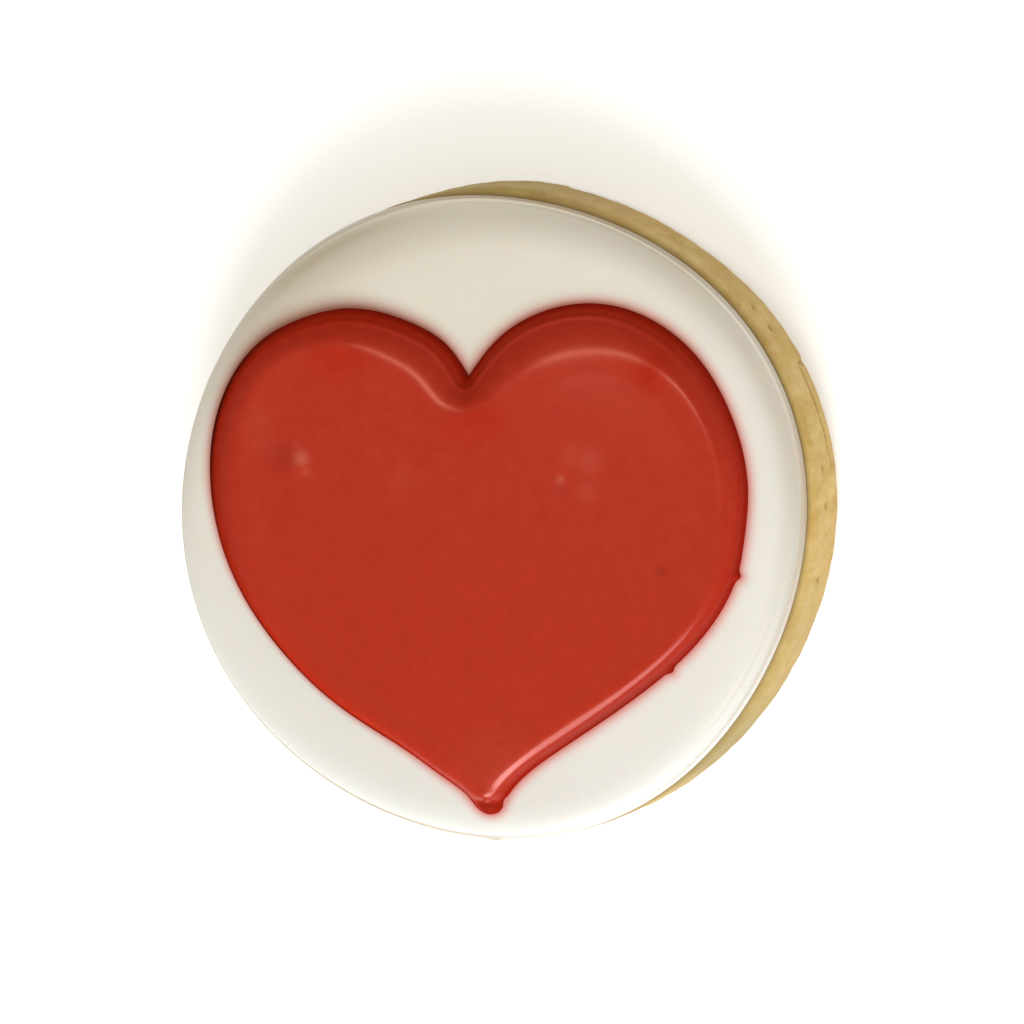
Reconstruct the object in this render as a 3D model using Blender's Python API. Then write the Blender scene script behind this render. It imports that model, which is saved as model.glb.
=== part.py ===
"""Round sugar cookie with a layer of white icing and a puffy red icing heart.

Every size below is in millimetres and every angle in degrees; the meshes are in metres.
The origin is the middle of the flat base, +Z is up, and the heart's tip points along -Y.
"""
import math

import bpy
import numpy as np

for old in list(bpy.data.objects):
    bpy.data.objects.remove(old, do_unlink=True)

MM = 0.001
TOUCH_GAP = 0.3

# The cookie is a cut-out disc. Baking rounds its edges and lets the foot spread a little.
COOKIE_RADIUS = 38.2
COOKIE_THICKNESS = 9.2
BASE_ROUNDING = 1.6
EDGE_ROUNDING = 1.2
SIDE_LEAN = 0.4
TOP_MIDDLE_RADIUS = 18.0

# The white icing is flooded up to a thin lip just inside the cookie's edge. Its shoulder is longer
# and softer on some sides: azimuth, spread, share.
ICING_RADIUS = 37.25
ICING_CENTRE = (-0.5, -0.2)
ICING_TOP = 11.2
LIP_THICKNESS = 0.55
LIP_WIDTH = 0.55
SHOULDER_WIDTH = 4.0
SHORT_FLOOD_AZIMUTH = 122.0
SHORT_FLOOD_SPREAD = 15.0
SHORT_FLOOD_WIDTH = 0.3
LONG_SHOULDER_WIDTH = 2.0
SOFT_SIDES = ((100.0, 40.0, 1.0), (25.0, 35.0, 0.7))
UNDERSIDE_INSETS = (20.0, 3.2, 2.4, 1.7, 1.1, 0.55, 0.15)
SHOULDER_STEPS = (0.0, 0.04, 0.13, 0.3, 0.6, 1.0)
PLATEAU_RADIUS = 18.0

# A slow waver of each outline: waves round the edge, swell of each crest, azimuth of one crest.
COOKIE_WAVER = ((2, 0.63, 22.5), (3, 0.09, 32.0), (4, 0.22, 19.5))
ICING_WAVER = ((2, 0.53, 23.5), (3, 0.23, 31.5), (4, 0.3, 24.0))
# Shallow hollows and bulges in the sides of the cookie and of the icing: azimuth, swell, spread.
SIDE_SPOTS = ((54.0, -0.25, 13.0), (85.0, 0.3, 13.0), (112.0, -0.28, 13.0), (-90.0, 0.3, 2.4))
ICING_SPOTS = ((145.0, 0.1, 28.0),)

# The heart is a domed pool of red icing. Its outline runs from the cleft round the left lobe,
# the rounded tip and the right lobe, back to the cleft.
HEART_TOP = 13.6
HEART_CENTRE = (-1.5, -1.0)
HEART_KNOTS = (
    (-1.7, 16.2), (-4.3, 19.6), (-9.0, 22.2), (-16.4, 23.5), (-21.8, 22.3), (-26.8, 19.7),
    (-32.0, 12.6), (-33.5, 3.0), (-30.7, -8.0), (-24.9, -16.3), (-17.1, -22.9), (-9.1, -27.4),
    (-4.6, -30.2), (-1.6, -32.4), (-0.6, -33.5), (0.6, -34.0), (1.8, -33.7), (2.8, -32.1),
    (4.5, -29.8), (8.8, -26.3), (19.0, -18.8), (25.6, -12.5), (29.9, -4.6), (30.6, -0.4),
    (30.9, 4.4), (29.2, 12.0), (23.4, 20.6), (14.6, 24.6), (6.9, 23.6), (1.8, 20.5), (-1.7, 16.2),
)
HEART_POINT_SPACING = 1.3
# A shoulder slopes from a crest round the pool down to the short, round wall at the edge. It is
# narrow at the tip and grows wide in two places: azimuth, added width, spread.
TIP_SHOULDER = 1.6
WIDE_SHOULDERS = ((84.0, 3.6, 52.0), (56.0, 0.5, 14.0), (176.0, 2.3, 32.0))
EDGE_WALL = 0.5
EDGE_WALL_WIDTH = 0.6
SHOULDER_STEEPENING = 0.45
# The crest turns over this width, which grows in four places: place, spread, added width.
# Below the cleft it fades out and the shoulder is narrower: place, spread, width taken away.
CREST_TURN = 0.6
SOFT_CRESTS = (
    ((0.5, -30.5), 4.0, 0.6), ((9.5, -22.5), 6.0, 0.5), ((12.9, 19.3), 6.5, 2.0), ((-10.1, 16.9), 5.0, 0.9),
)
CLEFT_ROLL = ((-0.5, 12.5), 5.0, 1.2)
CREST_HEIGHT = 0.12
CREST_WIDTH = 3.5
# Rings of points at shares of the way from the outline to the middle, and one ring of the underside.
HEART_RING_STEPS = (0.003, 0.01, 0.025, 0.045, 0.07, 0.1, 0.135, 0.175, 0.22, 0.28, 0.4, 0.65)
HEART_UNDERSIDE_STEP = 0.5

SIDES = 120
ROUNDING_STEPS = 4
SHOULDER_BULGE = 2.4
SHARP_SHOULDER = 0.5
SOFT_SHOULDER = 1.35
SMOOTH_LIMIT = math.radians(50.0)


def waver(azimuth, waves):
    """Swell of an outline beyond its mean radius at each azimuth in radians."""
    swell = np.zeros_like(azimuth)
    for count, height, crest in waves:
        swell += height * np.cos(count * (azimuth - math.radians(crest)))
    return swell


def hump(azimuth, crest, spread):
    """A smooth hump of height 1 at the crest, fading over the spread, both in degrees."""
    turn = np.degrees(np.angle(np.exp(1j * (azimuth - math.radians(crest)))))
    return np.exp(-(turn / spread) ** 2)


def spot(points, place, spread):
    """A smooth round spot of height 1 at a place in the flat, fading over the spread."""
    return np.exp(-(np.hypot(*(points - place).T) / spread) ** 2)


def smoothstep(value, low, high):
    """0 below low, 1 above high, and a smooth ramp between."""
    share = np.clip((value - low) / (high - low), 0.0, 1.0)
    return share ** 2 * (3 - 2 * share)


def outline_reach(azimuth, radius, waves, spots):
    """Reach of a wavering round outline at each azimuth in radians."""
    reach = radius + waver(azimuth, waves)
    for crest, swell, spread in spots:
        reach += swell * hump(azimuth, crest, spread)
    return reach


def cookie_reach(azimuth):
    """Radius of the cookie's outline at each azimuth in radians."""
    return outline_reach(azimuth, COOKIE_RADIUS, COOKIE_WAVER, SIDE_SPOTS)


def cookie_inset(points):
    """Radial distance of each point inside the cookie's outline."""
    azimuth = np.arctan2(points[:, 1], points[:, 0])
    return cookie_reach(azimuth) - np.hypot(points[:, 0], points[:, 1])


def cookie_top(points, gap=0.0):
    """Height of the cookie's top and its rounded edge, raised by a gap square to the surface."""
    rounding = EDGE_ROUNDING + gap
    past_flat = np.clip(SIDE_LEAN + EDGE_ROUNDING - cookie_inset(points), 0.0, rounding)
    return COOKIE_THICKNESS - EDGE_ROUNDING + np.sqrt(rounding ** 2 - past_flat ** 2)


def softness(azimuth):
    """Share by which the icing's shoulder is long and soft at each azimuth in radians."""
    soft = np.zeros_like(azimuth)
    for crest, spread, share in SOFT_SIDES:
        soft += share * hump(azimuth, crest, spread)
    return np.minimum(soft, 1.0)


def dome(run, steepness):
    """Rise of a flooded edge from 0 at its foot to 1 where it turns level."""
    return (1.0 - (1.0 - np.clip(run, 0.0, 1.0)) ** SHOULDER_BULGE) ** steepness


def ring_points(centre, reach, azimuth):
    """Points round a centre at the given reach."""
    return np.column_stack((centre[0] + reach * np.cos(azimuth), centre[1] + reach * np.sin(azimuth)))


def with_height(points, height):
    """Points of a flat outline raised to a height, one for all or one each."""
    return np.column_stack((points, np.broadcast_to(height, len(points))))


def spline(knots, spacing):
    """Points along a natural cubic spline through the knots, without the last knot."""
    knots = np.asarray(knots)
    chord = np.linalg.norm(np.diff(knots, axis=0), axis=1)
    count = len(knots)
    system = np.eye(count)
    pull = np.zeros((count, 2))
    for i in range(1, count - 1):
        system[i, i - 1:i + 2] = chord[i - 1], 2 * (chord[i - 1] + chord[i]), chord[i]
        pull[i] = 6 * ((knots[i + 1] - knots[i]) / chord[i] - (knots[i] - knots[i - 1]) / chord[i - 1])
    bend = np.linalg.solve(system, pull)
    stretches = []
    for i, length in enumerate(chord):
        steps = max(1, round(length / spacing))
        along = np.linspace(0.0, length, steps, endpoint=False)[:, None]
        back = length - along
        cubic = (bend[i] * back ** 3 + bend[i + 1] * along ** 3) / (6 * length)
        line = (knots[i] / length - bend[i] * length / 6) * back
        line += (knots[i + 1] / length - bend[i + 1] * length / 6) * along
        stretches.append(cubic + line)
    return np.vstack(stretches)


def distance_inside(points, outline):
    """Distance of each point to a closed outline."""
    start = outline[None, :, :]
    run = np.roll(outline, -1, axis=0)[None, :, :] - start
    offset = points[:, None, :] - start
    share = np.clip((offset * run).sum(2) / (run ** 2).sum(2), 0.0, 1.0)
    return np.linalg.norm(offset - share[..., None] * run, axis=2).min(axis=1)


def material(name, colour, roughness):
    """A plain glossy or matte finish from an sRGB colour."""
    finish = bpy.data.materials.new(name)
    finish.use_nodes = True
    linear = [((c / 255 + 0.055) / 1.055) ** 2.4 for c in colour]
    shader = finish.node_tree.nodes["Principled BSDF"]
    shader.inputs["Base Color"].default_value = (*linear, 1.0)
    shader.inputs["Roughness"].default_value = roughness
    shader.inputs["Metallic"].default_value = 0.0
    finish.diffuse_color = (*linear, 1.0)
    return finish


def lofted(name, low_middle, rings, high_middle, finish):
    """A closed solid through equal rings, from the middle of its underside to its top middle."""
    sides = len(rings[0])
    vertices = np.vstack([low_middle, *rings, high_middle]) * MM
    last = len(vertices) - 1
    faces = []
    for side in range(sides):
        after = (side + 1) % sides
        faces.append((0, 1 + after, 1 + side))
        for ring in range(len(rings) - 1):
            low = 1 + ring * sides
            high = low + sides
            faces.append((low + side, low + after, high + after, high + side))
        top = 1 + (len(rings) - 1) * sides
        faces.append((top + side, top + after, last))
    mesh = bpy.data.meshes.new(name)
    mesh.from_pydata(vertices.tolist(), [], faces)
    mesh.validate()
    mesh.shade_smooth()
    mesh.set_sharp_from_angle(angle=SMOOTH_LIMIT)
    mesh.materials.append(finish)
    solid = bpy.data.objects.new(name, mesh)
    bpy.context.scene.collection.objects.link(solid)
    return solid


def build_cookie():
    """The baked disc: flat base, rounded foot, leaning side, rounded top edge and flat top."""
    azimuth = np.linspace(0.0, math.tau, SIDES, endpoint=False)
    reach = cookie_reach(azimuth)
    turns = np.linspace(0.0, math.pi / 2, ROUNDING_STEPS + 1)
    profile = [(BASE_ROUNDING * (1 - math.sin(t)), BASE_ROUNDING * (1 - math.cos(t))) for t in turns]
    edge_height = COOKIE_THICKNESS - EDGE_ROUNDING
    profile.append((SIDE_LEAN / 2, (BASE_ROUNDING + edge_height) / 2))
    for t in turns:
        inset = SIDE_LEAN + EDGE_ROUNDING * (1 - math.cos(t))
        profile.append((inset, edge_height + EDGE_ROUNDING * math.sin(t)))
    profile.append((COOKIE_RADIUS - TOP_MIDDLE_RADIUS, COOKIE_THICKNESS))
    rings = [with_height(ring_points((0.0, 0.0), reach - inset, azimuth), z) for inset, z in profile]
    finish = material("biscuit", (205, 178, 112), 0.85)
    return lofted("cookie", (0.0, 0.0, 0.0), rings, (0.0, 0.0, COOKIE_THICKNESS), finish)


def build_white_icing():
    """The white layer: its underside follows the cookie, with a lip, a shoulder and a level top."""
    azimuth = np.linspace(0.0, math.tau, SIDES, endpoint=False)
    reach = outline_reach(azimuth, ICING_RADIUS, ICING_WAVER, ICING_SPOTS)
    rings = []
    for inset in UNDERSIDE_INSETS:
        points = ring_points(ICING_CENTRE, reach - inset, azimuth)
        rings.append(with_height(points, cookie_top(points, TOUCH_GAP)))
    foot = ring_points(ICING_CENTRE, reach, azimuth)
    foot_height = cookie_top(foot, TOUCH_GAP)
    rings.append(with_height(foot, foot_height + LIP_THICKNESS / 3))
    rim = ring_points(ICING_CENTRE, reach - LIP_THICKNESS / 3, azimuth)
    rings.append(with_height(rim, foot_height + LIP_THICKNESS))
    short = hump(azimuth, SHORT_FLOOD_AZIMUTH, SHORT_FLOOD_SPREAD)
    ledge = LIP_WIDTH + SHORT_FLOOD_WIDTH * short
    soft = softness(azimuth)
    shoulder = SHOULDER_WIDTH + LONG_SHOULDER_WIDTH * soft
    ledge_points = ring_points(ICING_CENTRE, reach - ledge, azimuth)
    ledge_height = cookie_top(ledge_points, TOUCH_GAP) + LIP_THICKNESS
    for step in SHOULDER_STEPS:
        points = ring_points(ICING_CENTRE, reach - ledge - step * shoulder, azimuth)
        rise = dome(step, SHARP_SHOULDER + (SOFT_SHOULDER - SHARP_SHOULDER) * soft)
        rings.append(with_height(points, ledge_height + (ICING_TOP - ledge_height) * rise))
    middle = ring_points(ICING_CENTRE, np.full(SIDES, PLATEAU_RADIUS), azimuth)
    rings.append(with_height(middle, ICING_TOP))
    underside = COOKIE_THICKNESS + TOUCH_GAP
    finish = material("white_icing", (236, 231, 218), 0.35)
    low, high = (*ICING_CENTRE, underside), (*ICING_CENTRE, ICING_TOP)
    return lofted("white_icing", low, rings, high, finish)


def heart_height(points, outline):
    """Height of the red pool above its underside, at points inside its outline."""
    rise = HEART_TOP - ICING_TOP - TOUCH_GAP
    inside = distance_inside(points, outline)
    azimuth = np.arctan2(points[:, 1] - HEART_CENTRE[1], points[:, 0] - HEART_CENTRE[0])
    shoulder = TIP_SHOULDER
    for crest, width, spread in WIDE_SHOULDERS:
        shoulder = shoulder + width * hump(azimuth, crest, spread)
    turn = CREST_TURN
    for place, spread, width in SOFT_CRESTS:
        turn = turn + width * spot(points, place, spread)
    place, spread, narrowing = CLEFT_ROLL
    near_cleft = spot(points, place, spread)
    shoulder = shoulder - narrowing * near_cleft
    crease = SHOULDER_STEEPENING * (1 - near_cleft)
    left = shoulder - inside
    left = (left + np.sqrt(left ** 2 + turn ** 2)) / 2 / shoulder
    slope = left * (crease + (1 - crease) * left)
    wall = np.sqrt(1 - (1 - np.clip(inside / EDGE_WALL_WIDTH, 0.0, 1.0)) ** 2)
    height = wall * (rise - (rise - EDGE_WALL) * slope)
    return height - CREST_HEIGHT * smoothstep(inside - shoulder, 0.0, CREST_WIDTH)


def build_red_heart():
    """The red heart: a flat underside, short round wall, sloping shoulder, crest and shallow pool."""
    outline = spline(HEART_KNOTS, HEART_POINT_SPACING)
    centre = np.array(HEART_CENTRE)
    underside = ICING_TOP + TOUCH_GAP
    inner = outline + (centre - outline) * HEART_UNDERSIDE_STEP
    rings = [with_height(inner, underside), with_height(outline, underside)]
    for step in HEART_RING_STEPS:
        points = outline + (centre - outline) * step
        rings.append(with_height(points, underside + heart_height(points, outline)))
    middle_height = underside + heart_height(centre[None, :], outline)[0]
    finish = material("red_icing", (181, 50, 35), 0.3)
    return lofted("red_heart", (*centre, underside), rings, (*centre, middle_height), finish)


build_cookie()
build_white_icing()
build_red_heart()
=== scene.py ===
"""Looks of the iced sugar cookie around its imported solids.

Every size below is in millimetres and every angle in degrees; the meshes are in metres.
The frame is the solids' own: the origin is the middle of the flat base, +Z is up, and the heart's
tip points along -Y.
"""

import math

import bpy
import numpy as np
from mathutils import Matrix, Vector
from mathutils.kdtree import KDTree


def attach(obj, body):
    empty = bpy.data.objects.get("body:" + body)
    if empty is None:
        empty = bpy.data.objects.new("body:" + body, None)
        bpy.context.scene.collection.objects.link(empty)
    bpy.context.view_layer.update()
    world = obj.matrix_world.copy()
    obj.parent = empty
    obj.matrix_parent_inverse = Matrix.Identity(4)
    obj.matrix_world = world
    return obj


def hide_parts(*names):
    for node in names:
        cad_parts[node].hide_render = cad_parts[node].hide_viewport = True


MM = 0.001

# The photograph's frame and the camera fitted to the cookie's outlines in it.
FRAME_PIXELS = 1024
FOCAL_PIXELS = 3516.0
SENSOR_WIDTH = 36.0
CAMERA_TILT = 20.0
CAMERA_AZIMUTH = 21.7
CAMERA_DISTANCE = 400.0
CAMERA_TARGET = (2.34, 0.51, 8.0)

# The cookie, as in the solids. Its top is raised to meet the icing. The outline is a circle that
# wavers by whole waves (count, height, azimuth of a crest) and by spots (azimuth, swell, spread).
COOKIE_RADIUS = 38.19
COOKIE_THICKNESS = 9.35
BASE_ROUNDING = 1.6
EDGE_ROUNDING = 1.35
SIDE_LEAN = 0.4
COOKIE_WAVER = ((2, 0.63, 22.5), (3, 0.09, 32.0), (4, 0.22, 19.5))
SIDE_SPOTS = ((54.0, -0.25, 13.0), (85.0, 0.3, 13.0), (112.0, -0.28, 13.0), (-90.0, 0.3, 2.4))
COOKIE_SIDES = 960
# Grain of the crumb: depth of each layer and the spacing of its bumps, drawn out upward.
CRUMB_GRAIN = ((0.12, 3.2), (0.09, 1.1))
GRAIN_STRETCH = (1.0, 1.0, 0.55)
# The relief of the side grows above the foot and ends on top of the rounded edge.
RELIEF_HEIGHT = (0.05, 1.2)
RELIEF_INSET = (0.9, 1.7)
# Pits in the cookie's side: azimuth, height, depth, radius.
SIDE_PITS = (
    (3.6, 5.6, 0.4, 0.35), (-1.4, 4.8, 0.25, 0.4), (-9.1, 5.0, 0.4, 0.4), (-9.0, 6.2, 0.1, 0.9),
    (34.8, 5.2, 0.4, 0.4), (39.2, 5.4, 0.45, 0.35), (9.9, 6.0, 0.3, 0.35), (-24.0, 5.4, 0.3, 0.4),
    (55.0, 5.0, 0.15, 0.6), (68.0, 5.6, 0.15, 0.5), (-34.0, 4.6, 0.15, 0.4), (110.0, 5.2, 0.2, 0.5),
    (150.0, 4.6, 0.2, 0.6), (197.0, 5.4, 0.25, 0.5), (231.0, 4.4, 0.2, 0.5), (262.0, 5.2, 0.2, 0.4),
)
# A crack runs along the side: azimuth and height of its knots, depth and half width. It wanders by
# a height over a spacing, and fades over an angle at its last and at its first knot.
CRACK_KNOTS = ((27.6, 3.4), (21.5, 3.5), (14.5, 3.2), (7.5, 2.6))
CRACK_DEPTH = 0.35
CRACK_WIDTH = 0.16
CRACK_WANDER = (0.12, 1.6)
CRACK_FADES = (6.0, 0.8)
# A nick where the crack starts: azimuth, spread, height, half height, depth.
NICK = (27.6, 0.6, 2.0, 1.3, 0.4)
# The outline steps in a little below this azimuth, within the ramp, and comes back over the fade.
STEP_AZIMUTH = 79.4
STEP_DEPTH = 0.16
STEP_RAMP = 0.4
STEP_FADE = 14.0
# The side is duller and browner in places, from uneven baking and painted shade: azimuth, spread, share.
BAKES_AND_SHADE = (
    (-44.0, 16.0, 1.0), (-18.0, 12.0, 0.4), (50.0, 22.0, 0.2), (78.0, 13.0, 0.4), (97.0, 12.0, 0.6),
    (-112.0, 36.0, 1.0), (-90.0, 3.0, 0.6),
)

# The colours of the crumb: its mottle, patches, baked places and painted shade, painted shade in its pores
# and where the icing starts, and its foot.
CRUMB_DARK = (209, 169, 83)
CRUMB_LIGHT = (234, 204, 132)
CRUMB_PATCH = (226, 184, 120)
CRUMB_BAKED_AND_SHADE = (160, 141, 86)
CRUMB_PORE_SHADE = (140, 104, 52)
CRUMB_CONTACT_SHADE = (150, 128, 84)
CRUMB_FOOT = (184, 148, 92)

# The white icing, as in the solids. It reaches a little into the cookie's top.
ICING_SIDES = 640
ICING_SINK = 0.1
ICING_RADIUS = 37.25
ICING_CENTRE = (-0.5, -0.2)
ICING_TOP = 11.2
ICING_WAVER = ((2, 0.53, 23.5), (3, 0.23, 31.5), (4, 0.3, 24.0))
ICING_SPOTS = ((145.0, 0.1, 28.0),)
# The thin lip round the layer, its height above the cookie's top and the share of it at its foot.
LIP_HEIGHT = 0.7
LIP_WIDTH = 0.55
LIP_ROUNDING = 0.35
LIP_FOOT_SHARE = 0.3
# Inside the lip a rounded shoulder rises to the level top. It is longer and softer on some sides:
# azimuth, spread, share.
SHOULDER_WIDTH = 4.0
SHOULDER_BULGE = 2.4
SHARP_SHOULDER = 0.5
SOFT_SHOULDER = 1.35
LONG_SHOULDER_WIDTH = 2.0
SOFT_SIDES = ((100.0, 40.0, 1.0), (25.0, 35.0, 0.7))
# On one side the flood stops short of the lip, which is wider and more level there: azimuth, spread,
# added width, share levelled.
SHORT_FLOOD = (122.0, 15.0, 0.3, 0.5)
# The cookie shows through where the icing is thin: at the lip on some sides, with the azimuth, spread and
# share of each, and in bands along the rim, mostly painted shade on its slopes, with the inset and width of
# each as well.
LIP_TINTS = ((74.0, 32.0, 0.85), (5.0, 24.0, 0.75), (-125.0, 45.0, 0.9))
LIP_TINT_WIDTH = 0.9
THIN_AND_SHADE_BANDS = (
    (122.0, 18.0, 0.45, 1.6, 0.9), (125.0, 30.0, 0.25, 4.5, 3.0), (18.0, 40.0, 0.38, 1.4, 1.2),
    (-52.0, 30.0, 0.08, 0.7, 1.2), (-108.0, 20.0, 0.7, 0.0, 0.4),
)
# Red dye creeps out of the heart over this reach and fades by this power. Round one lobe a painted shadow
# darkens and widens it, and it reaches less far along another side: azimuth, spread, widening or narrowing.
DYE_REACH = 1.9
DYE_POWER = 2.6
DYE_SHADOW_SIDE = (128.0, 42.0, 0.35)
DYE_CLEAR = (-142.0, 36.0, 1.0)
# A groove parts the lip from the shoulder. On one side the lip is wider and its groove deeper:
# azimuth, spread, added width, added depth. A second faint line lies inside it near there: azimuth,
# spread, inset, depth, width.
GROOVE_DEPTH = 0.03
GROOVE_WIDTH = 0.35
CLEAR_LIP = (-4.0, 30.0, 0.25, 0.09)
SECOND_LINE = (-25.0, 16.0, 1.7, 0.05, 0.2)
# The flood runs off toward one side: azimuth, spread, depth at its edge, width. Slow swells
# cross the whole layer. Small dents: place, depth, radius.
ICING_SAG = (130.0, 24.0, 0.2, 9.0)
ICING_SWELL = 0.035
ICING_SWELL_SPACING = 9.0
ICING_DENTS = (((28.9, -10.3), 0.05, 0.9), ((-5.1, 25.8), 0.04, 0.7), ((-29.5, -8.0), 0.03, 1.4))
# The colours of the white icing: painted shade toward +Y, painted light toward -Y and toward +X, its
# mottle, where it is thin and painted shade on its rim, and the dye, plain and under painted shadow.
WHITE_SHADED_FAR = (235, 232, 222)
WHITE_LIT_NEAR = (236, 237, 234)
WHITE_LIT_RIGHT = (246, 246, 243)
WHITE_MOTTLE = (228, 220, 206)
WHITE_THIN_AND_SHADE = (190, 172, 140)
DYE_LIGHT = (226, 120, 112)
DYE_IN_SHADOW = (176, 92, 74)

# The red heart, as in the solids. It is sunk a little into the white icing.
HEART_SINK = 0.45
HEART_TOP = 13.58
HEART_CENTRE = (-1.5, -1.0)
HEART_KNOTS = (
    (-1.7, 16.2), (-4.3, 19.6), (-9.0, 22.2), (-16.4, 23.5), (-21.8, 22.3), (-26.8, 19.7),
    (-32.0, 12.6), (-33.5, 3.0), (-30.7, -8.0), (-24.9, -16.3), (-17.1, -22.9), (-9.1, -27.4),
    (-4.6, -30.2), (-1.6, -32.4), (-0.6, -33.5), (0.6, -34.0), (1.8, -33.7), (2.8, -32.1),
    (4.5, -29.8), (8.8, -26.3), (19.0, -18.8), (25.6, -12.5), (29.9, -4.6), (30.6, -0.4),
    (30.9, 4.4), (29.2, 12.0), (23.4, 20.6), (14.6, 24.6), (6.9, 23.6), (1.8, 20.5), (-1.7, 16.2),
)
# A short wall, and a shoulder that is narrow at the tip and wider on some sides: azimuth, added
# width, spread.
EDGE_WALL = 0.5
EDGE_WALL_WIDTH = 0.6
TIP_SHOULDER = 1.6
WIDE_SHOULDERS = ((84.0, 3.6, 52.0), (56.0, 0.5, 14.0), (176.0, 2.3, 32.0))
SHOULDER_STEEPENING = 0.45
# The shoulder turns into the crest over this width, and over more of it in spots: place, spread,
# added width. The shoulder rolls in at the cleft: place, spread, narrowing.
CREST_TURN = 0.6
SOFT_CRESTS = (
    ((0.5, -30.5), 4.0, 0.6), ((9.5, -22.5), 6.0, 0.5), ((12.9, 19.3), 6.5, 2.0), ((-10.1, 16.9), 5.0, 0.9),
)
CLEFT_ROLL = ((-0.5, 12.5), 5.0, 1.2)
# The crest is crisp on one stretch: azimuth, spread, share of its width taken away.
CRISP_CREST = (28.0, 10.0, 0.5)
# The pool inside the crest is a little lower.
CREST_HEIGHT = 0.12
CREST_WIDTH = 3.5
# The piped bead still shows as a faint line inside the lobes' edge, and ends over this angle.
BEAD_HEIGHT = 0.1
BEAD_INSET = 1.35
BEAD_WIDTH = 0.3
BEAD_AZIMUTH = math.radians(100.0)
BEAD_SPREAD = (math.radians(55.0), math.radians(95.0))
# Painted shade darkens the red down the far shoulder and toward the walls of some sides: azimuth, spread,
# share, width. In some spots it is darker, from deeper red and painted shade, and in others lighter with
# painted sheen: place, spread, share.
SHADED_REDS = (
    (85.0, 48.0, 0.14, 5.0), (165.0, 26.0, 0.4, 3.6), (155.0, 28.0, 0.55, 1.6), (162.0, 26.0, 1.3, 1.3),
    (-140.0, 40.0, 1.5, 0.85), (-50.0, 34.0, 0.35, 2.0),
)
DEEP_AND_SHADED_SPOTS = (
    ((0.8, -33.3), 1.2, 0.4), ((-23.6, 6.6), 1.7, 0.17), ((21.6, -4.8), 0.6, 0.24), ((9.7, 4.2), 0.6, 0.12),
)
SHEEN_SPOTS = (
    ((11.3, 7.9), 1.6, 0.06), ((13.0, 7.4), 1.6, 0.08), ((13.0, 4.0), 1.3, 0.06), ((9.9, 5.2), 0.4, 0.2),
    ((-26.6, 10.2), 2.0, 0.04), ((-26.2, 8.2), 1.6, 0.04), ((-21.3, 6.4), 0.9, 0.24),
    ((-20.7, 4.9), 0.7, 0.09), ((-21.8, 7.8), 0.6, 0.06), ((-8.6, 4.9), 1.6, 0.03),
)
# The gloss fades toward the wall over this width, wider on two sides: azimuth, spread, width. It is
# low in some spots: place, spread, share taken away. It is high near the tip: place, spread, share.
GLOSS_INSET = (0.1, 1.3)
DULL_SIDES = ((150.0, 52.0, 1.1), (-134.0, 42.0, 1.0))
DULL_SPOTS = (
    ((0.2, 12.0), 3.0, 0.6), ((0.8, -33.4), 1.3, 1.0), ((20.3, 17.6), 2.1, 0.85), ((-16.5, 18.3), 3.5, 0.6),
)
GLOSS = 0.5
BRIGHT_TIP = ((3.0, -28.8), 4.5, 0.5)
# The last drop at the tip is parted from the pool by a neck: its place along Y, depth, width. It
# deepens toward one side of the drop: where along X it starts, and where it is full.
NECK = (-32.3, 0.5, 0.6)
NECK_FADE = (-1.6, 0.4)
# Small hollows and bumps in the heart's pool: place, depth, radius.
HEART_DIPS = (
    ((-23.4, 6.8), 0.05, 1.8),
    ((-21.8, 5.8), -0.12, 1.5),
    ((10.1, 5.0), 0.03, 0.5),
    ((9.7, 6.4), 0.06, 2.6),
    ((19.0, -0.2), 0.05, 3.0),
    ((-8.7, 5.5), 0.05, 2.0),
    ((21.6, -4.8), 0.03, 0.7),
)
# Slow swells cross the whole pool.
POOL_SWELL = 0.02
POOL_SWELL_SPACING = 6.0
# Small drips of red at the heart's foot: place, reach, spread. They end over this share of the way
# to the heart's centre.
HEART_DRIPS = (((29.8, -5.2), 0.45, 0.5), ((22.1, -16.2), 0.35, 0.5))
DRIP_SPAN = 0.03
# The red is nowhere thinner than this above its underside.
THINNEST_RED = 0.05
# The colours of the red icing: its mottle, painted shade at its edge, painted sheen in spots, and deeper
# red with painted shade in places.
RED_DARK = (181, 43, 22)
RED_LIGHT = (187, 48, 27)
RED_EDGE_SHADE = (132, 10, 8)
RED_SHEEN = (238, 160, 130)
RED_DEEP_AND_SHADE = (60, 10, 5)

# The studio. Each area light: name, azimuth, tilt from upright, distance, width, depth, watts,
# colour. Their depth runs along the picture's up direction.
LIGHTS = (
    ("low_window", -80.0, 56.0, 640.0, 350.0, 350.0, 2.8, (0.94, 1.0, 1.1)),
    ("side_fill", 15.0, 70.0, 900.0, 1100.0, 1100.0, 0.75, (1.0, 0.97, 0.92)),
    ("ceiling", 153.0, 12.0, 700.0, 190.0, 80.0, 0.6, (1.0, 0.86, 0.7)),
)
LIGHT_TARGET = (0.0, 0.0, 10.0)
PICTURE_UP = (0.31, 0.95, 0.0)
# Soft light from all round, strongest from one way and weakest from the other.
SKY_COLOUR = (1.0, 0.92, 0.75, 1.0)
SKY_WAY = (0.0, -0.5, 0.866)
SKY_RANGE = (-0.3, 1.0)
SKY_STRENGTH = (0.04, 0.66)
# A matte floor, half its width in metres, with a glow that keeps it white.
FLOOR_HALF = 1.5
FLOOR_COLOUR = (249, 251, 255)
FLOOR_GLOW = (0.92, 0.97, 1.0, 1.0)
FLOOR_GLOW_STRENGTH = 0.4


def linear(colour):
    """Linear colour with alpha from an sRGB colour."""
    parts = [c / 255 for c in colour]
    return tuple(((c + 0.055) / 1.055) ** 2.4 if c > 0.04045 else c / 12.92 for c in parts) + (1.0,)


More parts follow.
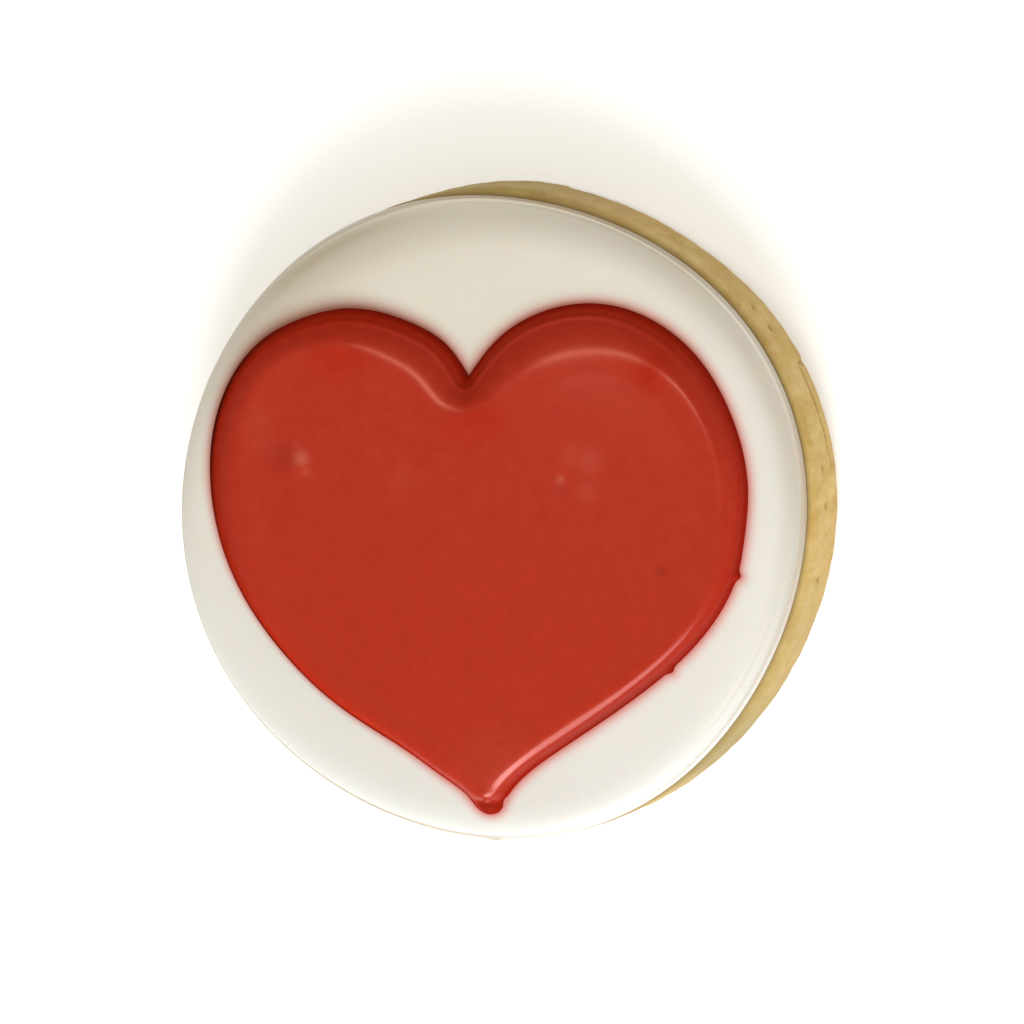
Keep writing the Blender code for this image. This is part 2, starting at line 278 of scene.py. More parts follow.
def waver(azimuth, waves):
    """Swell of an outline beyond its mean radius at each azimuth in radians."""
    swell = np.zeros_like(azimuth)
    for count, height, crest in waves:
        swell += height * np.cos(count * (azimuth - math.radians(crest)))
    return swell


def hump(azimuth, crest, spread):
    """A smooth hump of height 1 at the crest, fading over the spread, both in degrees."""
    turn = np.degrees(np.angle(np.exp(1j * (azimuth - math.radians(crest)))))
    return np.exp(-(turn / spread) ** 2)


def spot(points, place, spread):
    """A smooth round spot of height 1 at a place in the flat, fading over the spread."""
    return np.exp(-(np.hypot(*(points - place).T) / spread) ** 2)


def smoothstep(value, low, high):
    """0 below low, 1 above high, and a smooth ramp between."""
    share = np.clip((value - low) / (high - low), 0.0, 1.0)
    return share ** 2 * (3 - 2 * share)


def softness(azimuth):
    """Share by which the icing's shoulder is long and soft at each azimuth in radians."""
    soft = np.zeros_like(azimuth)
    for crest, spread, share in SOFT_SIDES:
        soft += share * hump(azimuth, crest, spread)
    return np.minimum(soft, 1.0)


def dome(run, steepness):
    """Rise of a flooded edge from 0 at its foot to 1 where it turns level."""
    return (1.0 - (1.0 - np.clip(run, 0.0, 1.0)) ** SHOULDER_BULGE) ** steepness


def noise(points, seed, spacing):
    """Smooth gradient noise of about -1 to 1 at 3D points, with the given spacing between its bumps."""
    table = np.random.default_rng(seed)
    order = table.permutation(256)
    slopes = table.normal(size=(256, 3))
    slopes /= np.linalg.norm(slopes, axis=1, keepdims=True)
    place = points / spacing
    cell = np.floor(place).astype(int)
    inside = place - cell
    fade = inside ** 3 * (inside * (inside * 6 - 15) + 10)
    total = np.zeros(len(points))
    for corner in np.ndindex(2, 2, 2):
        at = (cell + corner) & 255
        which = order[(order[(order[at[:, 0]] + at[:, 1]) & 255] + at[:, 2]) & 255]
        weight = np.prod(np.where(np.array(corner) == 1, fade, 1 - fade), axis=1)
        total += weight * (slopes[which] * (inside - corner)).sum(1)
    return total * 1.6


def outline_reach(azimuth, radius, waves, spots):
    """Reach of a wavering round outline at each azimuth in radians."""
    reach = radius + waver(azimuth, waves)
    for crest, swell, spread in spots:
        reach += swell * hump(azimuth, crest, spread)
    return reach


def cookie_reach(azimuth):
    """Radius of the cookie's outline at each azimuth in radians."""
    return outline_reach(azimuth, COOKIE_RADIUS, COOKIE_WAVER, SIDE_SPOTS)


def cookie_top(points):
    """Height of the cookie's top and its rounded edge."""
    azimuth = np.arctan2(points[:, 1], points[:, 0])
    inset = cookie_reach(azimuth) - np.hypot(points[:, 0], points[:, 1])
    past_flat = np.clip(SIDE_LEAN + EDGE_ROUNDING - inset, 0.0, EDGE_ROUNDING)
    return COOKIE_THICKNESS - EDGE_ROUNDING + np.sqrt(EDGE_ROUNDING ** 2 - past_flat ** 2)


def ring_points(centre, reach, azimuth):
    """Points round a centre at the given reach."""
    return np.column_stack((centre[0] + reach * np.cos(azimuth), centre[1] + reach * np.sin(azimuth)))


def with_height(points, height):
    """Points of a flat outline raised to a height, one for all or one each."""
    return np.column_stack((points, np.broadcast_to(height, len(points))))


def spline(knots, spacing):
    """Points along a natural cubic spline through the knots, without the last knot."""
    knots = np.asarray(knots)
    chord = np.linalg.norm(np.diff(knots, axis=0), axis=1)
    count = len(knots)
    system = np.eye(count)
    pull = np.zeros((count, 2))
    for i in range(1, count - 1):
        system[i, i - 1:i + 2] = chord[i - 1], 2 * (chord[i - 1] + chord[i]), chord[i]
        pull[i] = 6 * ((knots[i + 1] - knots[i]) / chord[i] - (knots[i] - knots[i - 1]) / chord[i - 1])
    bend = np.linalg.solve(system, pull)
    stretches = []
    for i, length in enumerate(chord):
        steps = max(1, round(length / spacing))
        along = np.linspace(0.0, length, steps, endpoint=False)[:, None]
        back = length - along
        cubic = (bend[i] * back ** 3 + bend[i + 1] * along ** 3) / (6 * length)
        line = (knots[i] / length - bend[i] * length / 6) * back
        line += (knots[i + 1] / length - bend[i + 1] * length / 6) * along
        stretches.append(cubic + line)
    return np.vstack(stretches)


def distance_to(outline, points):
    """Distance of each point to a closed outline of closely spaced points."""
    tree = KDTree(len(outline))
    for i, place in enumerate(outline):
        tree.insert((*place, 0.0), i)
    tree.balance()
    return np.array([tree.find((*point, 0.0))[2] for point in points])


def lofted(name, low_middle, rings, high_middle):
    """A closed, smooth-shaded mesh through equal rings, from its underside's middle to its top's."""
    sides = len(rings[0])
    count = len(rings)
    vertices = np.vstack([low_middle, *rings, high_middle]) * MM
    side = np.arange(sides)
    after = (side + 1) % sides
    faces = np.column_stack((np.zeros(sides, int), 1 + after, 1 + side)).tolist()
    for ring in range(count - 1):
        low = 1 + ring * sides
        high = low + sides
        faces += np.column_stack((low + side, low + after, high + after, high + side)).tolist()
    top = 1 + (count - 1) * sides
    faces += np.column_stack((top + side, top + after, np.full(sides, len(vertices) - 1))).tolist()
    mesh = bpy.data.meshes.new(name)
    mesh.from_pydata(vertices.tolist(), [], faces)
    mesh.shade_smooth()
    piece = bpy.data.objects.new(name, mesh)
    bpy.context.scene.collection.objects.link(piece)
    return piece


def paint(piece, name, values):
    """Keeps one number for each vertex, which the material reads by name."""
    attribute = piece.data.attributes.new(name, "FLOAT", "POINT")
    attribute.data.foreach_set("value", np.asarray(values, np.float32))


class Material:
    """A node material, built link by link."""

    def __init__(self, name, **settings):
        self.data = bpy.data.materials.new(name)
        self.data.use_nodes = True
        self.nodes = self.data.node_tree.nodes
        self.links = self.data.node_tree.links
        self.shader = self.nodes["Principled BSDF"]
        for socket, value in settings.items():
            self.shader.inputs[socket.replace("_", " ")].default_value = value

    def add(self, kind, inputs=None, **settings):
        """A node with its settings, and its inputs set or linked."""
        node = self.nodes.new(kind)
        for key, value in settings.items():
            setattr(node, key, value)
        for key, value in (inputs or {}).items():
            if isinstance(value, bpy.types.NodeSocket):
                self.links.new(value, node.inputs[key])
            else:
                node.inputs[key].default_value = value
        return node

    def attribute(self, name):
        """A number painted on the mesh."""
        return self.add("ShaderNodeAttribute", attribute_name=name).outputs["Fac"]

    def noise(self, scale, detail=3.0, roughness=0.5, stretch=(1.0, 1.0, 1.0)):
        """Noise over the object's own coordinates, at a scale in bumps a metre."""
        place = self.add("ShaderNodeTexCoord").outputs["Object"]
        stretched = self.add("ShaderNodeVectorMath", {0: place, 1: stretch}, operation="MULTIPLY")
        place = stretched.outputs["Vector"]
        inputs = {"Vector": place, "Scale": scale, "Detail": detail, "Roughness": roughness}
        return self.add("ShaderNodeTexNoise", inputs).outputs["Fac"]

    def along(self, axis):
        """One of the object's own coordinates, in metres."""
        place = self.add("ShaderNodeTexCoord").outputs["Object"]
        return self.add("ShaderNodeSeparateXYZ", {"Vector": place}).outputs[axis]

    def ramp(self, value, low, high, to_low=0.0, to_high=1.0):
        """A value mapped from one range to another, held at its ends."""
        inputs = {"Value": value, "From Min": low, "From Max": high, "To Min": to_low, "To Max": to_high}
        return self.add("ShaderNodeMapRange", inputs).outputs["Result"]

    def mix(self, share, first, second):
        """Two colours mixed by a share."""
        node = self.add("ShaderNodeMix", {"Factor": share}, data_type="RGBA")
        for socket, value in ((node.inputs[6], first), (node.inputs[7], second)):
            if isinstance(value, bpy.types.NodeSocket):
                self.links.new(value, socket)
            else:
                socket.default_value = value
        return node.outputs[2]

    def bump(self, height, distance, strength):
        """Fine relief from a height, over a distance in metres."""
        inputs = {"Height": height, "Distance": distance, "Strength": strength}
        return self.add("ShaderNodeBump", inputs).outputs["Normal"]

    def link(self, value, socket):
        """Links a value to one of the shader's inputs."""
        self.links.new(value, self.shader.inputs[socket])


def icing_outline(azimuth):
    """Reach of the white icing's outline from its centre."""
    return outline_reach(azimuth, ICING_RADIUS, ICING_WAVER, ICING_SPOTS)


def side_relief(azimuth, points):
    """Depth of the crumb's grain, pits, crack and outline step at points on one ring of the side."""
    height = points[:, 2]
    depth = np.zeros(len(points))
    for seed, (grain, spacing) in enumerate(CRUMB_GRAIN):
        depth += grain * (0.5 + 0.5 * noise(points * GRAIN_STRETCH, seed, spacing))
    turn = np.degrees(azimuth)
    for pit_azimuth, pit_height, pit_depth, radius in SIDE_PITS:
        along = COOKIE_RADIUS * np.radians((turn - pit_azimuth + 180) % 360 - 180)
        depth += pit_depth * np.exp(-(along ** 2 + (height - pit_height) ** 2) / radius ** 2)
    knots = sorted(CRACK_KNOTS)
    track = np.interp(turn, [knot[0] for knot in knots], [knot[1] for knot in knots])
    wander, wander_spacing = CRACK_WANDER
    track += wander * noise(points * (1.0, 1.0, 0.0), 5, wander_spacing)
    start, end = knots[0][0], knots[-1][0]
    start_fade, end_fade = CRACK_FADES
    on_track = smoothstep(turn, start, start + start_fade) * smoothstep(-turn, -end, end_fade - end)
    depth += CRACK_DEPTH * on_track * np.exp(-((height - track) / CRACK_WIDTH) ** 2)
    nick_azimuth, nick_spread, nick_height, nick_reach, nick_depth = NICK
    nick = nick_depth * hump(azimuth, nick_azimuth, nick_spread)
    depth += nick * np.exp(-((height - nick_height) / nick_reach) ** 2)
    past_step = np.clip(STEP_AZIMUTH - turn, 0.0, STEP_FADE)
    depth += STEP_DEPTH * smoothstep(past_step, 0.0, STEP_RAMP) * (1 - past_step / STEP_FADE)
    return np.maximum(depth, 0.0)


def build_cookie():
    """The baked disc with its crumb in relief."""
    azimuth = np.linspace(0.0, math.tau, COOKIE_SIDES, endpoint=False)
    reach = cookie_reach(azimuth)
    edge_height = COOKIE_THICKNESS - EDGE_ROUNDING
    profile = [(inset, 0.0) for inset in np.geomspace(COOKIE_RADIUS - 1.0, BASE_ROUNDING + 0.2, 14)]
    for turn in np.linspace(0.0, math.pi / 2, 9):
        profile.append((BASE_ROUNDING * (1 - math.sin(turn)), BASE_ROUNDING * (1 - math.cos(turn))))
    for step in np.linspace(0.0, 1.0, 48)[1:-1]:
        profile.append((SIDE_LEAN * step, BASE_ROUNDING + (edge_height - BASE_ROUNDING) * step))
    for turn in np.linspace(0.0, math.pi / 2, 9):
        inset = SIDE_LEAN + EDGE_ROUNDING * (1 - math.cos(turn))
        profile.append((inset, edge_height + EDGE_ROUNDING * math.sin(turn)))
    profile.append((4.0, COOKIE_THICKNESS))
    rings = []
    cavities = []
    for inset, height in profile:
        ring = with_height(ring_points((0.0, 0.0), reach - inset, azimuth), height)
        share = smoothstep(height, *RELIEF_HEIGHT) * (1 - smoothstep(inset, *RELIEF_INSET))
        depth = share * side_relief(azimuth, ring)
        rings.append(with_height(ring_points((0.0, 0.0), reach - inset - depth, azimuth), height))
        cavities.append(depth)
    piece = lofted("cookie_crumb", (0.0, 0.0, 0.0), rings, (0.0, 0.0, COOKIE_THICKNESS))
    paint(piece, "height", [vertex.co.z / MM for vertex in piece.data.vertices])
    # The side's baked places also carry painted shade.
    bake_and_shade = sum(share * hump(azimuth, crest, spread) for crest, spread, share in BAKES_AND_SHADE)
    paint(piece, "bake_and_shade", np.concatenate(([0.0], np.tile(bake_and_shade, len(rings)), [0.0])))
    paint(piece, "cavity", np.concatenate(([0.0], *cavities, [0.0])))
    places = np.vstack(rings)[:, :2] - ICING_CENTRE
    beyond = np.hypot(*places.T) - icing_outline(np.arctan2(places[:, 1], places[:, 0]))
    paint(piece, "beyond", np.concatenate(([0.0], beyond, [0.0])))
    return piece


def build_white_icing():
    """The white layer with its lip, groove, shoulder and gently swelling top."""
    azimuth = np.linspace(0.0, math.tau, ICING_SIDES, endpoint=False)
    reach = icing_outline(azimuth)
    rings = []
    insets = []
    for inset in (20.0, 5.0, 2.0, 1.0, 0.4, 0.1):
        points = ring_points(ICING_CENTRE, reach - inset, azimuth)
        rings.append(with_height(points, cookie_top(points) - ICING_SINK))
        insets.append(np.zeros(ICING_SIDES))
    underside_rings = len(rings)
    foot = ring_points(ICING_CENTRE, reach, azimuth)
    foot_height = cookie_top(foot)
    for turn in np.linspace(0.0, math.pi / 2, 7):
        inset = LIP_ROUNDING * (1 - math.cos(turn))
        points = ring_points(ICING_CENTRE, reach - inset, azimuth)
        under = foot_height + (cookie_top(points) - foot_height) * math.sin(turn)
        share = LIP_FOOT_SHARE + (1 - LIP_FOOT_SHARE) * math.sin(turn)
        rings.append(with_height(points, under + LIP_HEIGHT * share))
        insets.append(np.full(ICING_SIDES, inset))
    short_azimuth, short_spread, short_width, levelling = SHORT_FLOOD
    short = hump(azimuth, short_azimuth, short_spread)
    clear_azimuth, clear_spread, clear_width, clear_depth = CLEAR_LIP
    clear = hump(azimuth, clear_azimuth, clear_spread)
    ledge = LIP_WIDTH + short_width * short + clear_width * clear
    soft = softness(azimuth)
    shoulder = SHOULDER_WIDTH + LONG_SHOULDER_WIDTH * soft
    ledge_points = ring_points(ICING_CENTRE, reach - ledge, azimuth)
    ledge_height = cookie_top(ledge_points) + LIP_HEIGHT
    line_azimuth, line_spread, line_inset, line_depth, line_width = SECOND_LINE
    line_depths = line_depth * hump(azimuth, line_azimuth, line_spread)
    steps = np.concatenate((np.linspace(0.0, 1.0, 8)[1:-1] - 1.0, np.linspace(0.0, 1.0, 44) ** 1.6))
    for step in steps:
        if step < 0:
            inset = LIP_ROUNDING + (ledge - LIP_ROUNDING) * (1 + step)
            crown = cookie_top(ring_points(ICING_CENTRE, reach - inset, azimuth)) + LIP_HEIGHT
            height = crown + levelling * short * (1 + step) * (ledge_height - crown)
        else:
            inset = ledge + step * shoulder
            rise = dome(step, SHARP_SHOULDER + (SOFT_SHOULDER - SHARP_SHOULDER) * soft)
            height = ledge_height + (ICING_TOP - ledge_height) * rise
        groove = GROOVE_DEPTH * (1 - soft) + clear_depth * clear
        height = height - groove * np.exp(-((inset - ledge) / GROOVE_WIDTH) ** 2)
        height = height - line_depths * np.exp(-((inset - line_inset) / line_width) ** 2)
        rings.append(with_height(ring_points(ICING_CENTRE, reach - inset, azimuth), height))
        insets.append(inset)
    for share in np.concatenate((np.linspace(1.0, 0.5, 64)[1:], (0.35, 0.2))):
        flat_reach = (reach - ledge - shoulder) * share
        rings.append(with_height(ring_points(ICING_CENTRE, flat_reach, azimuth), ICING_TOP))
        insets.append(reach - flat_reach)
    sag_azimuth, sag_spread, sag_depth, sag_width = ICING_SAG
    sag = sag_depth * hump(azimuth, sag_azimuth, sag_spread)
    for ring, inset in zip(rings[underside_rings:], insets[underside_rings:]):
        swell = noise(ring, 8, ICING_SWELL_SPACING) * ICING_SWELL
        swell = swell - sag * (1 - np.clip(inset / sag_width, 0.0, 1.0)) ** 2
        for place, depth, radius in ICING_DENTS:
            swell = swell - depth * spot(ring[:, :2], place, radius)
        ring[:, 2] += swell * smoothstep(inset, 0.3, 3.0)
    low = (*ICING_CENTRE, COOKIE_THICKNESS - ICING_SINK)
    piece = lofted("icing_layer", low, rings, (*ICING_CENTRE, ICING_TOP))
    outline = with_drips(spline(HEART_KNOTS, 0.1))
    away = distance_to(outline, np.vstack(rings)[:, :2])
    tints = sum(share * hump(azimuth, crest, spread) for crest, spread, share in LIP_TINTS)
    lip = [tints * (1 - np.clip(inset / LIP_TINT_WIDTH, 0.0, 1.0)) for inset in insets]
    thin_and_shade = np.concatenate(([0.0], *lip, [0.0]))
    # Painted shade in bands on the rim's slopes and at one corner, and the cookie showing at the bottom
    # rim.
    for crest, spread, share, place, width in THIN_AND_SHADE_BANDS:
        along = share * hump(azimuth, crest, spread)
        band = [along * np.exp(-((inset - place) / width) ** 2) for inset in insets]
        thin_and_shade += np.concatenate(([0.0], *band, [0.0]))
    paint(piece, "thin_and_shade", thin_and_shade)
    # Painted shadow on the white beside one lobe of the heart.
    shade_azimuth, shade_spread, widening = DYE_SHADOW_SIDE
    painted_shadow = hump(around(rings), shade_azimuth, shade_spread)
    clear_azimuth, clear_spread, narrowing = DYE_CLEAR
    clear = hump(around(rings), clear_azimuth, clear_spread)
    away = away * (1 - widening * painted_shadow + narrowing * clear)
    paint(piece, "spread", np.concatenate(([10.0], away, [10.0])))
    paint(piece, "painted_shadow", np.concatenate(([0.0], painted_shadow, [0.0])))
    return piece


def around(rings):
    """Azimuth of every point of the rings about the heart's centre, in radians."""
    places = np.vstack(rings)[:, :2] - HEART_CENTRE
    return np.arctan2(places[:, 1], places[:, 0])


def with_drips(outline, share=1.0):
    """An outline of the heart let out a little at its drips."""
    for place, reach, spread in HEART_DRIPS:
        way = np.array(place) - HEART_CENTRE
        away = np.hypot(*(outline - place).T)
        outline = outline + way / np.hypot(*way) * (share * reach * np.exp(-(away / spread) ** 2))[:, None]
    return outline


def heart_height(points, inside):
    """Height of the red pool above the white icing, at points a distance inside its outline."""
    rise = HEART_TOP - ICING_TOP
    azimuth = np.arctan2(points[:, 1] - HEART_CENTRE[1], points[:, 0] - HEART_CENTRE[0])
    shoulder = TIP_SHOULDER
    for crest, width, spread in WIDE_SHOULDERS:
        shoulder = shoulder + width * hump(azimuth, crest, spread)
    crisp_azimuth, crisp_spread, crispness = CRISP_CREST
    turn = CREST_TURN * (1 - crispness * hump(azimuth, crisp_azimuth, crisp_spread))
    for place, spread, width in SOFT_CRESTS:
        turn = turn + width * spot(points, place, spread)
    place, spread, narrowing = CLEFT_ROLL
    near_cleft = spot(points, place, spread)
    shoulder = shoulder - narrowing * near_cleft
    crease = SHOULDER_STEEPENING * (1 - near_cleft)
    left = shoulder - inside
    left = (left + np.sqrt(left ** 2 + turn ** 2)) / 2 / shoulder
    slope = left * (crease + (1 - crease) * left)
    wall = np.sqrt(1 - (1 - np.clip(inside / EDGE_WALL_WIDTH, 0.0, 1.0)) ** 2)
    height = wall * (rise - (rise - EDGE_WALL) * slope)
    bead = BEAD_HEIGHT * (1 - smoothstep(np.abs(azimuth - BEAD_AZIMUTH), *BEAD_SPREAD))
    height += bead * np.exp(-((inside - BEAD_INSET) / BEAD_WIDTH) ** 2)
    return height - CREST_HEIGHT * smoothstep(inside - shoulder, 0.0, CREST_WIDTH)


def build_red_heart():
    """The red heart with its edge, shoulder, crest, shallow pool, small hollows and parted drop."""
    dense = spline(HEART_KNOTS, 0.05)
    outline = spline(HEART_KNOTS, 0.25)
    centre = np.array(HEART_CENTRE)
    underside = ICING_TOP - HEART_SINK
    foot = with_drips(outline)
    rings = [with_height(centre + (outline - centre) * 0.5, underside), with_height(foot, underside)]
    inside = [np.zeros(len(outline))] * 2
    for scale in 1.0 - np.linspace(0.0, 1.0, 120, endpoint=False)[1:] ** 1.5:
        points = centre + (outline - centre) * scale
        depth = distance_to(dense, points)
        height = ICING_TOP - underside + heart_height(points, depth)
        for place, dip, radius in HEART_DIPS:
            height -= dip * spot(points, place, radius)
        neck_place, neck_depth, neck_width = NECK
        neck = neck_depth * smoothstep(points[:, 0], *NECK_FADE)
        height -= neck * np.exp(-((points[:, 1] - neck_place) / neck_width) ** 2)
        swell = POOL_SWELL * noise(with_height(points, 0.0), 3, POOL_SWELL_SPACING)
        height += swell * smoothstep(depth, 1.0, 4.0)
        at_foot = np.clip(1 - (1 - scale) / DRIP_SPAN, 0.0, 1.0)
        rings.append(with_height(with_drips(points, at_foot), underside + np.maximum(height, THINNEST_RED)))
        inside.append(depth)
    top = rings[-1][:, 2].mean()
    piece = lofted("heart_pool", (*centre, underside), rings, (*centre, top))
    inside = np.concatenate(inside)
    azimuth = around(rings)
    places = np.vstack(rings)[:, :2]
    # Painted shade down the far shoulder and along the walls, and deeper red with painted shade in spots.
    deep_and_shade = np.zeros(len(inside))
    for crest, spread, share, width in SHADED_REDS:
        toward_wall = np.clip(1 - inside / width, 0.0, 1.0)
        deep_and_shade = np.maximum(deep_and_shade, share * hump(azimuth, crest, spread) * toward_wall)
    for place, spread, share in DEEP_AND_SHADED_SPOTS:
        deep_and_shade = np.maximum(deep_and_shade, share * spot(places, place, spread))
    # Painted sheen and glints in soft spots on the pool.
    painted_sheen = np.zeros(len(inside))
    for place, spread, share in SHEEN_SPOTS:
        painted_sheen = np.maximum(painted_sheen, share * spot(places, place, spread))
    dull = sum(width * hump(azimuth, crest, spread) for crest, spread, width in DULL_SIDES)
    gloss = smoothstep(inside - dull, *GLOSS_INSET)
    for place, spread, share in DULL_SPOTS:
        gloss = gloss * (1 - share * spot(places, place, spread))
    place, spread, share = BRIGHT_TIP
    gloss = gloss * (GLOSS + share * spot(places, place, spread))
    for name, values, middle in (
        ("inside", inside, 10.0), ("deep_and_shade", deep_and_shade, 0.0), ("painted_sheen", painted_sheen, 0.0), ("gloss", gloss, GLOSS),
    ):
        paint(piece, name, np.concatenate(([middle], values, [middle])))
    return piece


def crumb_material():
    """Golden-tan baked crumb, browner at its foot and where it is baked more, with painted shade there too,
    in its pores and just below the icing.
    """
    material = Material("crumb", Roughness=0.75)
    mottle = material.ramp(material.noise(420.0, 4.0, 0.6, GRAIN_STRETCH), 0.32, 0.68)
    colour = material.mix(mottle, linear(CRUMB_DARK), linear(CRUMB_LIGHT))
    patches = material.ramp(material.noise(110.0, 2.0, 0.5, GRAIN_STRETCH), 0.35, 0.7, 0.0, 0.5)
    colour = material.mix(patches, colour, linear(CRUMB_PATCH))
    # Baked places, partly painted shade.
    bake_and_shade = material.ramp(material.attribute("bake_and_shade"), 0.0, 1.0, 0.0, 0.85)
    colour = material.mix(bake_and_shade, colour, linear(CRUMB_BAKED_AND_SHADE))
    # Painted shade in the pits, grain hollows and crack of the side.
    pore_shade = material.ramp(material.attribute("cavity"), 0.2, 0.55, 0.0, 0.55)
    colour = material.mix(pore_shade, colour, linear(CRUMB_PORE_SHADE))
    # Painted shade on the crumb just below the icing's edge.
    contact_shade = material.ramp(material.attribute("beyond"), 0.0, 0.5, 0.8, 0.0)
    colour = material.mix(contact_shade, colour, linear(CRUMB_CONTACT_SHADE))
    foot = material.ramp(material.attribute("height"), 0.0, 2.2, 0.8, 0.0)
    colour = material.mix(foot, colour, linear(CRUMB_FOOT))
    material.link(colour, "Base Color")
    material.link(material.bump(material.noise(1500.0, 4.0, 0.6), 0.00012, 0.5), "Normal")
    return material.data


def white_material():
    """Cream-white satin icing with painted light toward -Y and +X, tan where it is thin, painted shade on
    its rim, pink where red dye has crept out and a painted shadow on the dye by one lobe.
    """
    material = Material("white_sugar", Roughness=0.42, Subsurface_Weight=0.25, Subsurface_Scale=0.0012)
    # Painted light: the icing is lighter toward -Y and toward +X and darker toward +Y.
    lit_near = material.ramp(material.along("Y"), 0.022, -0.03)
    colour = material.mix(lit_near, linear(WHITE_SHADED_FAR), linear(WHITE_LIT_NEAR))
    lit_right = material.ramp(material.along("X"), 0.004, 0.034, 0.0, 0.65)
    colour = material.mix(lit_right, colour, linear(WHITE_LIT_RIGHT))
    mottle = material.ramp(material.noise(90.0, 2.0), 0.3, 0.7, 0.0, 0.12)
    colour = material.mix(mottle, colour, linear(WHITE_MOTTLE))
    # Tan where the icing is thin, and painted shade on the rim.
    colour = material.mix(material.attribute("thin_and_shade"), colour, linear(WHITE_THIN_AND_SHADE))
    dye = material.ramp(material.attribute("spread"), 0.0, DYE_REACH, 1.0, 0.0)
    dye = material.add("ShaderNodeMath", {0: dye, 1: DYE_POWER}, operation="POWER").outputs["Value"]
    # Painted shadow darkens the dye beside one lobe.
    dye_colour = material.mix(material.attribute("painted_shadow"), linear(DYE_LIGHT), linear(DYE_IN_SHADOW))
    colour = material.mix(dye, colour, dye_colour)
    material.link(colour, "Base Color")
    material.link(material.bump(material.noise(900.0, 2.0), 0.00004, 0.2), "Normal")
    return material.data


def red_material():
    """Semi-gloss red icing, with painted shade toward its wall and down some shoulders, deeper red in spots
    and painted sheen in others.
    """
    material = Material("red_sugar", Roughness=0.22, Specular_Tint=(1.0, 0.5, 0.43, 1.0))
    mottle = material.ramp(material.noise(700.0, 4.0), 0.3, 0.7)
    colour = material.mix(mottle, linear(RED_DARK), linear(RED_LIGHT))
    material.link(material.attribute("gloss"), "Specular IOR Level")
    # Painted shade toward the heart's wall.
    edge_shade = material.ramp(material.attribute("inside"), 0.0, 0.9, 0.45, 0.0)
    colour = material.mix(edge_shade, colour, linear(RED_EDGE_SHADE))
    # Painted sheen in spots.
    colour = material.mix(material.attribute("painted_sheen"), colour, linear(RED_SHEEN))
    # Painted shade and deeper red.
    colour = material.mix(material.attribute("deep_and_shade"), colour, linear(RED_DEEP_AND_SHADE))
    material.link(colour, "Base Color")
    return material.data


def floor_material():
    """A plain matte floor."""
    settings = {"Emission_Color": FLOOR_GLOW, "Emission_Strength": FLOOR_GLOW_STRENGTH}
    return Material("floor", Base_Color=linear(FLOOR_COLOUR), Roughness=0.9, **settings).data


def aim(thing, place, target, up=(0.0, 1.0, 0.0)):
    """Turns a camera or light at a place, in millimetres, to face a target."""
    back = (Vector(place) - Vector(target)).normalized()
    across = Vector(up).cross(back).normalized()
    axes = Matrix((across, back.cross(across), back)).transposed().to_4x4()
    thing.matrix_world = Matrix.Translation(Vector(place) * MM) @ axes


def toward(azimuth, tilt, distance, target):
    """The place at a distance from a target, in a direction by its azimuth and tilt from upright."""
    turn, lean = math.radians(azimuth), math.radians(tilt)
    way = Vector((math.sin(lean) * math.cos(turn), math.sin(lean) * math.sin(turn), math.cos(lean)))
    return Vector(target) + way * distance


def build_camera():
    """The photograph's camera."""
    data = bpy.data.cameras.new("camera")
    data.sensor_width = SENSOR_WIDTH
    data.lens = FOCAL_PIXELS / FRAME_PIXELS * SENSOR_WIDTH
    data.clip_start = 0.01
    data.clip_end = 20.0
    camera = bpy.data.objects.new("camera", data)
    bpy.context.scene.collection.objects.link(camera)
    place = toward(CAMERA_AZIMUTH, CAMERA_TILT, CAMERA_DISTANCE, CAMERA_TARGET)
    aim(camera, place, CAMERA_TARGET)
    bpy.context.scene.camera = camera


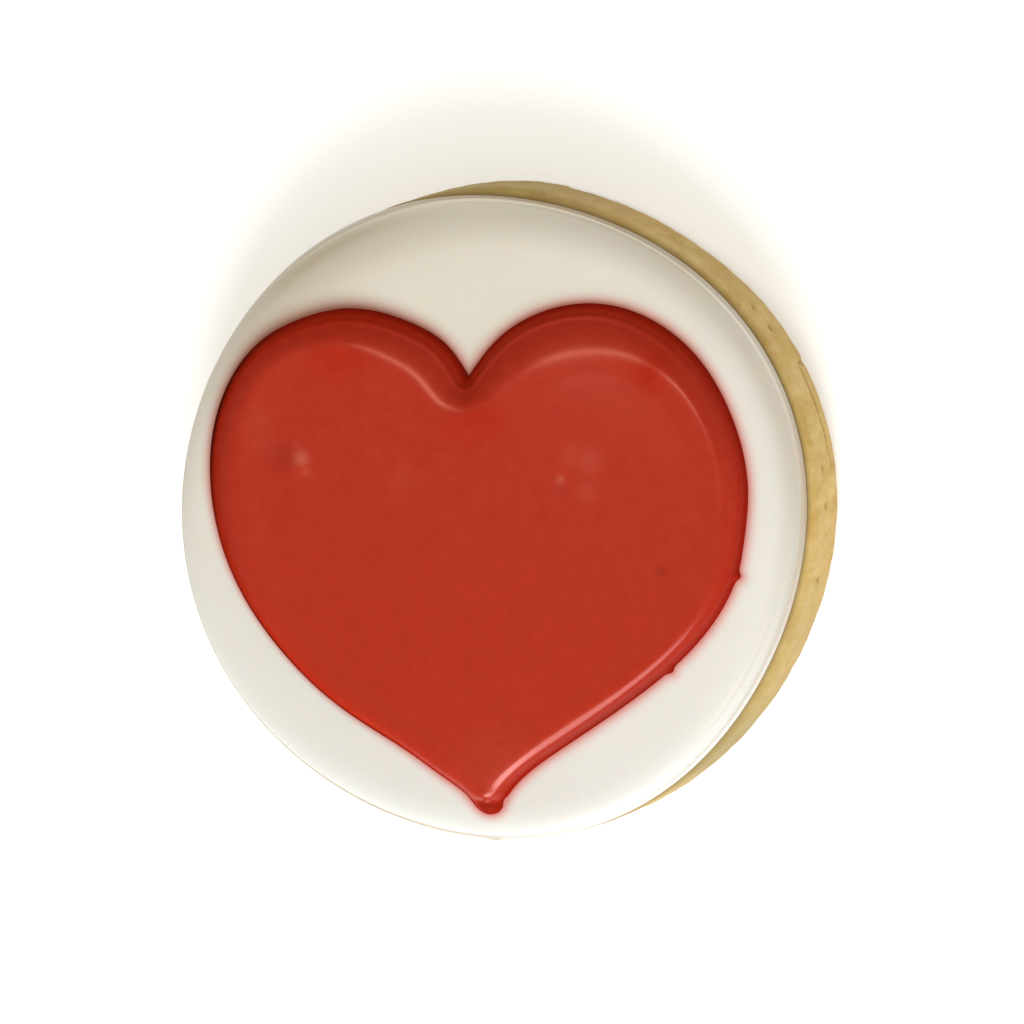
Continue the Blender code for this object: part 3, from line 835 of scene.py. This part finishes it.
def build_light(name, azimuth, tilt, distance, width, depth, power, colour):
    """A soft light facing the cookie."""
    data = bpy.data.lights.new(name, "AREA")
    data.shape = "RECTANGLE"
    data.size = width * MM
    data.size_y = depth * MM
    data.energy = power
    data.color = colour
    light = bpy.data.objects.new(name, data)
    bpy.context.scene.collection.objects.link(light)
    aim(light, toward(azimuth, tilt, distance, LIGHT_TARGET), LIGHT_TARGET, PICTURE_UP)


def build_stage():
    """A plain pale floor and soft light from all round."""
    half = FLOOR_HALF
    mesh = bpy.data.meshes.new("floor")
    corners = [(-half, -half, 0), (half, -half, 0), (half, half, 0), (-half, half, 0)]
    mesh.from_pydata(corners, [], [(0, 1, 2, 3)])
    mesh.materials.append(floor_material())
    floor = bpy.data.objects.new("floor", mesh)
    bpy.context.scene.collection.objects.link(floor)
    world = bpy.data.worlds.new("studio")
    world.use_nodes = True
    nodes, links = world.node_tree.nodes, world.node_tree.links
    way = nodes.new("ShaderNodeVectorMath")
    way.operation = "DOT_PRODUCT"
    way.inputs[1].default_value = SKY_WAY
    links.new(nodes.new("ShaderNodeTexCoord").outputs["Generated"], way.inputs[0])
    fade = nodes.new("ShaderNodeMapRange")
    links.new(way.outputs["Value"], fade.inputs["Value"])
    for name, value in zip(("From Min", "From Max", "To Min", "To Max"), (*SKY_RANGE, *SKY_STRENGTH)):
        fade.inputs[name].default_value = value
    nodes["Background"].inputs["Color"].default_value = SKY_COLOUR
    links.new(fade.outputs["Result"], nodes["Background"].inputs["Strength"])
    bpy.context.scene.world = world


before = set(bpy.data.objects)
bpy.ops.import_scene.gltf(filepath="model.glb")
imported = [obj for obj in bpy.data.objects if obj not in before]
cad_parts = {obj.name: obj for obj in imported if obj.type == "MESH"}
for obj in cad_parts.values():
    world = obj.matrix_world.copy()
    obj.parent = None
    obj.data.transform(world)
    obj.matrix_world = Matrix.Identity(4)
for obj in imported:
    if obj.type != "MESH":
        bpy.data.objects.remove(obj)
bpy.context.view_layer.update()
bpy.context.scene.view_settings.view_transform = "Standard"
build_camera()
build_stage()
for light in LIGHTS:
    build_light(*light)

for build, finish, node, slot in (
    (build_cookie, crumb_material, "cookie", "biscuit"),
    (build_white_icing, white_material, "white_icing", "white_icing"),
    (build_red_heart, red_material, "red_heart", "red_icing"),
):
    piece = build()
    piece.data.materials.append(finish())
    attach(piece, "root")
    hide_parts(node)
